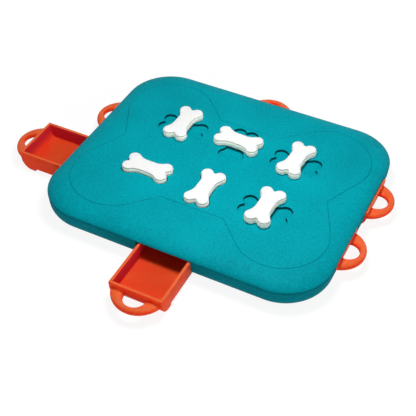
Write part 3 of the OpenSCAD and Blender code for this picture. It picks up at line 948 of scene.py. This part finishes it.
def handle_tree():
    """Tree that moves each point of a grid to where the rules put it on the loop."""
    tree, sizes = new_tree("loop_handle", dict.fromkeys(HANDLE, "Float"))
    flat = add(tree, "GeometryNodeMeshGrid", {
        "Size X": 2.0, "Size Y": 2.0, "Vertices X": LOOP_POINTS, "Vertices Y": SECTION_POINTS})
    place = add(tree, "ShaderNodeSeparateXYZ", {0: add(tree, "GeometryNodeInputPosition")})
    known = {name: sizes[name] for name in HANDLE}
    known.update(loop=place.outputs["X"], section=place.outputs["Y"])
    rims = []
    for rim, rule in (("Hole", RIM_RULE), ("Outer", RIM_RULE), ("", SECTION_RULE)):
        if rim:
            known.update(radius=sizes[rim + " Radius"], centre=sizes[rim + " Centre"])
        for name, operation, *parts in rule:
            inputs = {i: known.get(part, part) for i, part in enumerate(parts)}
            known[name] = add(tree, "ShaderNodeMath", inputs, operation=operation)
        if rim:
            rims.append(add(tree, "ShaderNodeCombineXYZ", {"X": known["x"], "Y": known["y"]}))
    plan = add(tree, "ShaderNodeMix", {"Factor": known["share"], 4: rims[0], 5: rims[1]},
               data_type="VECTOR")
    rise = add(tree, "ShaderNodeCombineXYZ", {"Z": known["rise"]})
    goal = add(tree, "ShaderNodeVectorMath", {0: plan.outputs[1], 1: rise}, operation="ADD")
    bent = add(tree, "GeometryNodeSetPosition", {"Geometry": flat, "Position": goal})
    closed = add(
        tree, "GeometryNodeMergeByDistance", {"Geometry": bent, "Distance": 0.01 * MM})
    add(tree, "NodeGroupOutput", {0: closed})
    return tree


def handle_mesh():
    """The handle at its height, with its two ends closed."""
    grown = baked(bpy.data.meshes.new("seed"), (handle_tree(), HANDLE))
    shape = bmesh.new()
    shape.from_mesh(grown)
    bmesh.ops.translate(shape, verts=shape.verts, vec=(0, 0, HANDLE_Z * MM))
    bmesh.ops.holes_fill(shape, edges=shape.edges)
    bmesh.ops.recalc_face_normals(shape, faces=shape.faces)
    shape.to_mesh(grown)
    shape.free()
    return grown


handle = handle_mesh()
print("handle:", len(handle.polygons), "faces")

# %% [markdown]
# Behind the tub a tongue with two lugs reaches in below the key, and two ears stop the
# drawer before it falls out. Boolean joins them and the handle to the tub.

# %% Add the tongue, the ears and the handle, and fill the six bays
TONGUE_X, TONGUE_Y, LUG_TOP = (-92.5, -75), 12, 17.3
EARS = ((-76, -31, 8), (-73.2, 31, 20))


def drawer_fittings():
    """Tongue, its two side ribs with their lugs, and the ears, as boxes."""
    blocks = [((TONGUE_X[0], -TONGUE_Y, BOX_Z), (TONGUE_X[1], TONGUE_Y, FLOOR_Z)), EARS]
    for side in (-1, 1):
        for inner, end in ((9.5, TONGUE_X[1]), (6, -89.5)):
            low, high = sorted((side * inner, side * TONGUE_Y))
            blocks.append(((TONGUE_X[0], low, BOX_Z), (end, high, LUG_TOP)))
    sewing = Sewing()
    for low, high in blocks:
        block(sewing, [v * MM for v in low], [v * MM for v in high])
    return sewing.mesh("fittings")


def mark_tub_wall_shade(mesh):
    """Marks the faces of the tub's inner walls, for their painted shade of deeper red."""
    mark = mesh.attributes.new("tub_wall", "FLOAT", "FACE")
    for face in mesh.polygons:
        x, y, z = face.center / MM
        within = (-DRAWER_L + DRAWER_WALL - 0.1 < x < -DRAWER_WALL + 0.1
                  and abs(y) < DRAWER_W / 2 - DRAWER_WALL + 0.1 and FLOOR_Z < z < RIM_Z - 0.4)
        mark.data[face.index].value = 1 - abs(face.normal.z) if within else 0.0


drawer_mould = combined(combined(tub, drawer_fittings(), "UNION"), handle, "UNION")
mark_tub_wall_shade(drawer_mould)
HANDLE_TIP = HANDLE["Outer Centre"] + HANDLE["Outer Radius"]
for name, (_, _, angle) in BAYS.items():
    low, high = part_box("drawer_" + name)
    spot = [*middle("drawer_" + name)]
    axis = 0 if angle in (0, 180) else 1
    spot[axis] = high[axis] - HANDLE_TIP if angle in (0, 90) else low[axis] + HANDLE_TIP
    add_piece("treat_drawer_" + name, put(drawer_mould.copy(), spot, angle),
              "drawer_" + name, ORANGE, "drawer_" + name)
print("drawer:", len(drawer_mould.polygons), "faces each")

# %% [markdown]
# ## The tray
#
# The tray is a shallow bowl that starts as a stack of rings, like the lid. Boolean joins
# the cheeks beside each drawer's gap, the runners below it and the screws' posts to it,
# and cuts out the gaps and the holes.

# %% Shape the tray
# All in millimetres. RIB_FOOT_Z is inside the tray's floor, so that ribs join it well
TRAY_FLOOR_Z, RIB_FOOT_Z = 3.5, 3.2
BAY_W, BAY_X, ABOVE_ALL = 58, (-17.8, 2), 24
CHEEK_T, CHEEK_X, CHEEK_TOP = 2.4, -18.9, 22
RUNNER_X, RUNNER_Y, RUNNER_TOP = (-84.5, -19), (18, 21), 4.1
POST_RINGS = [(4, RIB_FOOT_Z), (4, 20.7), (3.7, 21)]
SCREW_CUT = [(3.4, 0), (3.4, 3), (1.6, 3), (1.6, ABOVE_ALL)]
FOOT_CUT = [(9.1, 0), (9.1, 2.4)]
FEET = [(x, y) for x in (-112, 112) for y in (-84, 84)] + [(0, 0)]


def bay_point(name, x, y):
    """World place, in metres, of a point in mm in a bay's own frame."""
    bx, by, angle = BAYS[name]
    return turned([(x * MM, y * MM)], angle, bx, by)[0]


def bay_slab(sewing, name, profile, y):
    """Closed slab in a bay's frame: an (x, z) profile in mm between two y values."""
    sides = []
    for edge in y:
        sides.append(list(range(len(sewing.points), len(sewing.points) + len(profile))))
        sewing.points += [(*bay_point(name, x, edge), z * MM) for x, z in profile]
    sewing.wrap(*sides)


def bay_block(sewing, name, x, y, z):
    """Box in a bay's frame from three (low, high) pairs in mm."""
    ends = list(zip(bay_point(name, x[0], y[0]), bay_point(name, x[1], y[1])))
    block(sewing, (*map(min, ends), z[0] * MM), (*map(max, ends), z[1] * MM))


def in_metres(rings):
    """Rings given in millimetres, in metres."""
    return [(radius * MM, z * MM) for radius, z in rings]


print("feet and screws:", len(FEET), len(SCREWS))

# %% Join its ribs and cut its gaps
def tray_shell():
    """Bowl with a rounded rim, closed off level inside."""
    top = SEAM_Z / MM - HALF_SEAM / MM
    profile = under_curve(0, LIP_Z) + [(0.05, top - 0.4), (0.15, top - 0.12), (0.4, top)]
    profile += [(2.2, top), (2.45, top - 0.12), (2.5, top - 0.4)]
    profile += under_curve(2.5, TRAY_FLOOR_Z)[::-1]
    sewing = Sewing()
    rings = [sewing.ring(edge_ring(inset * MM), z * MM) for inset, z in profile]
    sewing.wrap(*rings)
    return sewing.mesh("tray")


def tray_mesh():
    """The bowl with its cheeks, runners and posts, less the bays and the holes."""
    cheek = [(CHEEK_X, RIB_FOOT_Z), (CHEEK_X, CHEEK_TOP), (-0.5, CHEEK_TOP)]
    cheek += [(-x, z) for x, z in under_curve(0.6, 1.9)[::-1] if z > RIB_FOOT_Z]
    cheek.append((-14, RIB_FOOT_Z))
    ribs, cuts = Sewing(), Sewing()
    for name in BAYS:
        for side in (-1, 1):
            edge, far = side * BAY_W / 2, side * (BAY_W / 2 + CHEEK_T)
            bay_slab(ribs, name, cheek, sorted((edge, far)))
            bay_block(ribs, name, RUNNER_X, sorted(side * y for y in RUNNER_Y),
                      (RIB_FOOT_Z, RUNNER_TOP))
        bay_block(cuts, name, BAY_X, (-BAY_W / 2, BAY_W / 2), (0, ABOVE_ALL))
    for x, y in SCREWS:
        disc(ribs, in_metres(POST_RINGS), 24, x, y)
        disc(cuts, in_metres(SCREW_CUT), 24, x, y)
    for x, y in FEET:
        disc(cuts, in_metres(FOOT_CUT), 48, x * MM, y * MM)
    return combined(
        combined(tray_shell(), ribs.mesh("ribs"), "UNION"), cuts.mesh("cuts"), "DIFFERENCE")


tray = tray_mesh()
# The tray wears the darker copy of the teal, which is painted shade
add_piece("tray_shell", tray, "housing", TEAL_SHADED, "base_tray")
print("tray:", len(tray.polygons), "faces")

# %% [markdown]
# ## Screws and feet
#
# Six screws hold the housing together from below, and five rubber feet keep it from
# sliding. Both stand in a rectangle with some more on its middle line, so one Geometry
# Nodes tree places a single screw or foot on every point and makes the copies real.

# %% Place repeated fasteners with Geometry Nodes
def pattern_tree():
    """Tree that repeats a mesh on a rectangle's corners and on a line in its middle."""
    tree, size = new_tree("rectangle_and_middle", {
        "Length": "Float", "Width": "Float", "Middle Count": "Int",
        "Middle Spacing": "Float", "Finish": "Material"})
    corners = add(tree, "GeometryNodeMeshGrid", {
        "Size X": size["Length"], "Size Y": size["Width"], "Vertices X": 2, "Vertices Y": 2})
    start = size["Middle Count"]
    for operation, part in (("SUBTRACT", 1.0), ("MULTIPLY", -0.5),
                            ("MULTIPLY", size["Middle Spacing"])):
        start = add(tree, "ShaderNodeMath", {0: start, 1: part}, operation=operation)
    line = add(tree, "GeometryNodeMeshLine", {
        "Count": size["Middle Count"],
        "Start Location": add(tree, "ShaderNodeCombineXYZ", {"X": start}),
        "Offset": add(tree, "ShaderNodeCombineXYZ", {"X": size["Middle Spacing"]})})
    points = add(tree, "GeometryNodeJoinGeometry", {0: [corners, line]})
    copies = add(
        tree, "GeometryNodeInstanceOnPoints", {"Points": points, "Instance": size["Geometry"]})
    real = add(tree, "GeometryNodeRealizeInstances", {0: copies})
    done = add(tree, "GeometryNodeSetMaterial", {"Geometry": real, "Material": size["Finish"]})
    add(tree, "NodeGroupOutput", {0: done})
    return tree


def placed(mesh, finish, length, width, count, spacing):
    """Copies of a small mesh on the pattern, as one mesh with its finish."""
    return baked(mesh, (pattern, {"Length": length, "Width": width, "Middle Count": count,
                                  "Middle Spacing": spacing, "Finish": finish[0]}))


pattern = pattern_tree()
print("pattern inputs:", [item.name for item in pattern.interface.items_tree])

# %% Make the screws and the feet
SLOT_HALF, SLOT_DEPTH = 0.35 * MM, 0.7 * MM
# (radius, height) in millimetres: a ring groove round the middle makes the foot grip
FOOT_RINGS = [(4.0, 0.35), (4.2, 0.0), (5.4, 0.0), (5.6, 0.35), (6.4, 0.35), (6.6, 0.0),
              (8.5, 0.0), (8.85, 0.12), (9.0, 0.45), (9.0, 2.3), (8.8, 2.4)]


def screw_mesh(node, head_r, head_h, shank_r):
    """Screw that fills a CAD node's height, head down, with a cross slot."""
    low, high = (corner.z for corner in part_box(node))
    head_r, head_h, shank_r = head_r * MM, head_h * MM, shank_r * MM
    body, cutter = Sewing(), Sewing()
    disc(body, [(head_r - 0.45 * MM, low), (head_r - 0.12 * MM, low + 0.12 * MM),
                (head_r, low + 0.45 * MM), (head_r, low + head_h), (shank_r, low + head_h),
                (shank_r, high - 0.5 * MM), (shank_r * 0.6, high)], 32)
    reach = head_r * 0.6
    for a, b in ((reach, SLOT_HALF), (SLOT_HALF, reach)):
        block(cutter, (-a, -b, low - 0.5 * MM), (a, b, low + SLOT_DEPTH))
    return combined(body.mesh("screw"), cutter.mesh("slot"), "DIFFERENCE")


screws = placed(screw_mesh("housing_screws", 3, 1.2, 1.45), ZINC,
                length=0.176, width=0.196, count=2, spacing=0.06)
add_piece("screws", screws, "housing", ZINC, "housing_screws")
foot = Sewing()
disc(foot, in_metres(FOOT_RINGS), 48)
feet = placed(foot.mesh("foot"), RUBBER, length=0.224, width=0.168, count=1, spacing=0.0)
add_piece("feet", feet, "housing", RUBBER,
          *[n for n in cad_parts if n.startswith("foot_")])
print("screws and feet:", len(screws.polygons), len(feet.polygons), "faces")

# %% [markdown]
# ## Locking blades
#
# Each key carries a nylon blade inside the housing, held by a small screw. The blade is a
# bar with round ends and a round hub, with a square hole for the spindle's tenon.

# %% Make the blades and their screws
# In millimetres: half its length, its ends' radius, its hub's radius; half the square hole
BLADE = (8.5, 2.5, 4.6)
HOLE = 2.25
# What the fill leaves open, a hair smaller than the hole's half
OPEN = [((0, 0), 2.2 * MM)]


def blade_outline(half, radius, hub):
    """Closed outline of a bar with round ends and a round hub."""
    meet = math.degrees(math.asin(radius / hub))
    points = arc(half - radius, 0, radius, -90, 90, 12)
    points += arc(0, 0, hub, meet, 180 - meet, 16)
    points += arc(radius - half, 0, radius, 90, 270, 12)
    return points + arc(0, 0, hub, 180 + meet, 360 - meet, 16)


def blade_mesh(name):
    """A blade between its CAD node's lowest and highest point, at its place."""
    low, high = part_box("lock_blade_" + name)
    sewing = Sewing()
    outer = [sewing.ring(blade_outline(*((v + out) * MM for v in BLADE)), z)
             for out, z in ((-0.3, low.z), (0, low.z + 0.3 * MM), (0, high.z - 0.3 * MM),
                            (-0.3, high.z))]
    sewing.sew(*outer)
    square = arc(0, 0, HOLE * MM * math.sqrt(2), -135, 135, 3)
    holes = [sewing.ring(square, z) for z in (low.z, high.z)]
    sewing.sew(*holes[::-1])
    sewing.fill([outer[0], holes[0]], upwards=False, holes=OPEN)
    sewing.fill([outer[-1], holes[1]], holes=OPEN)
    return on_key(name, sewing.mesh("blade_" + name))


for name in KEYS:
    add_piece("blade_" + name, blade_mesh(name), "key_" + name, NYLON, "lock_blade_" + name)
    small = on_key(name, screw_mesh("blade_screw_" + name, 2.9, 1.6, 1))
    add_piece("small_screw_" + name, small, "key_" + name, ZINC, "blade_screw_" + name)
print("blades made:", len(KEYS))

# %% [markdown]
# ## Studio
#
# The toy lies in a light tent: bright white walls, more so to the right, a dark roof, and
# one small soft lamp overhead. The lamp lights the lid and leaves what hangs over in
# shade, and the walls light the sides. To the camera, tent and floor are plain white, but
# for the toy's own pale shadow: light path nodes tell such straight looks from the rest.

# %% Light the toy
LAMP_PLACE = (0.035, -0.03, 0.42)
LAMP_SIZE, LAMP_WATTS = 0.12, 1.42
WALL_LIGHT, ROOF_LIGHT = 2.4, 0.1
LEFT_SHARE, RIGHT_SHARE = 0.65, 1.35


def seen_straight(tree):
    """1 for what the camera, a reflection or clear plastic sees; 0 for stray light."""
    path = add(tree, "ShaderNodeLightPath").outputs
    seen = path["Is Camera Ray"]
    for ray in ("Is Glossy Ray", "Is Transmission Ray"):
        seen = add(tree, "ShaderNodeMath", {0: seen, 1: path[ray]}, operation="MAXIMUM")
    return seen


def light_tent():
    """World that is bright near the horizon and dim above, and a lamp."""
    world = bpy.data.worlds.new("light_tent")
    world.use_nodes = True
    tree = world.node_tree
    tree.nodes.clear()
    place = add(tree, "ShaderNodeTexCoord").outputs["Generated"]
    way = add(tree, "ShaderNodeSeparateXYZ", {0: place}).outputs
    tent = add(tree, "ShaderNodeMapRange", {
        "Value": way["Z"], "From Min": 0.08, "From Max": 0.30, "To Min": WALL_LIGHT,
        "To Max": ROOF_LIGHT}, interpolation_type="SMOOTHSTEP")
    side = add(tree, "ShaderNodeMapRange", {
        "Value": way["X"], "From Min": -1.0, "To Min": LEFT_SHARE, "To Max": RIGHT_SHARE})
    tent = add(tree, "ShaderNodeMath", {0: tent, 1: side}, operation="MULTIPLY")
    level = add(tree, "ShaderNodeMix", {"Factor": seen_straight(tree), 2: tent, 3: 1.0})
    add(tree, "ShaderNodeOutputWorld", {"Surface": add(
        tree, "ShaderNodeBackground", {"Color": linear("#ffffff"), "Strength": level})})
    bpy.context.scene.world = world
    lamp = linked("overhead_lamp", bpy.data.lights.new("overhead_lamp", "AREA"))
    lamp.data.size, lamp.data.energy = LAMP_SIZE, LAMP_WATTS
    lamp.location = LAMP_PLACE
    lamp.rotation_mode = "QUATERNION"
    lamp.rotation_quaternion = (-Vector(LAMP_PLACE)).to_track_quat("-Z", "Y")


light_tent()
print("lamp in W:", LAMP_WATTS)

# %% Lay the floor
FLOOR_HALF = 4.0
# Seen straight, the floor glows almost white near the toy and white further off; the
# little that is left comes from light on it, so the toy's shadow still shows
GLOW, SHADOWED, STRAY = (0.9, 1.0), "#6c6c6c", "#f4f4f4"


def pale_floor():
    """Large white sheet just under the feet."""
    mesh = bpy.data.meshes.new("floor")
    corners = [(-1, -1), (1, -1), (1, 1), (-1, 1)]
    mesh.from_pydata(
        [(x * FLOOR_HALF, y * FLOOR_HALF, 0) for x, y in corners], [], [(0, 1, 2, 3)])
    floor = linked("floor", mesh)
    floor.location.z = -0.02 * MM
    material, tree, place = new_finish("floor_paper")
    far = add(tree, "ShaderNodeVectorMath", {0: place}, operation="LENGTH").outputs["Value"]
    level = add(tree, "ShaderNodeMapRange", {
        "Value": far, "From Min": 0.2, "From Max": 0.45, "To Min": GLOW[0], "To Max": GLOW[1]})
    white = add(tree, "ShaderNodeEmission", {"Strength": level})
    shadowed = add(tree, "ShaderNodeBsdfDiffuse", {"Color": linear(SHADOWED)})
    stray = add(tree, "ShaderNodeBsdfDiffuse", {"Color": linear(STRAY)})
    shown = add(tree, "ShaderNodeAddShader", {0: white, 1: shadowed})
    add(tree, "ShaderNodeOutputMaterial", {"Surface": add(
        tree, "ShaderNodeMixShader", {"Fac": seen_straight(tree), 1: stray, 2: shown})})
    mesh.materials.append(material)


pale_floor()
bpy.context.scene.view_settings.view_transform = "Standard"
print("floor in m:", 2 * FLOOR_HALF)
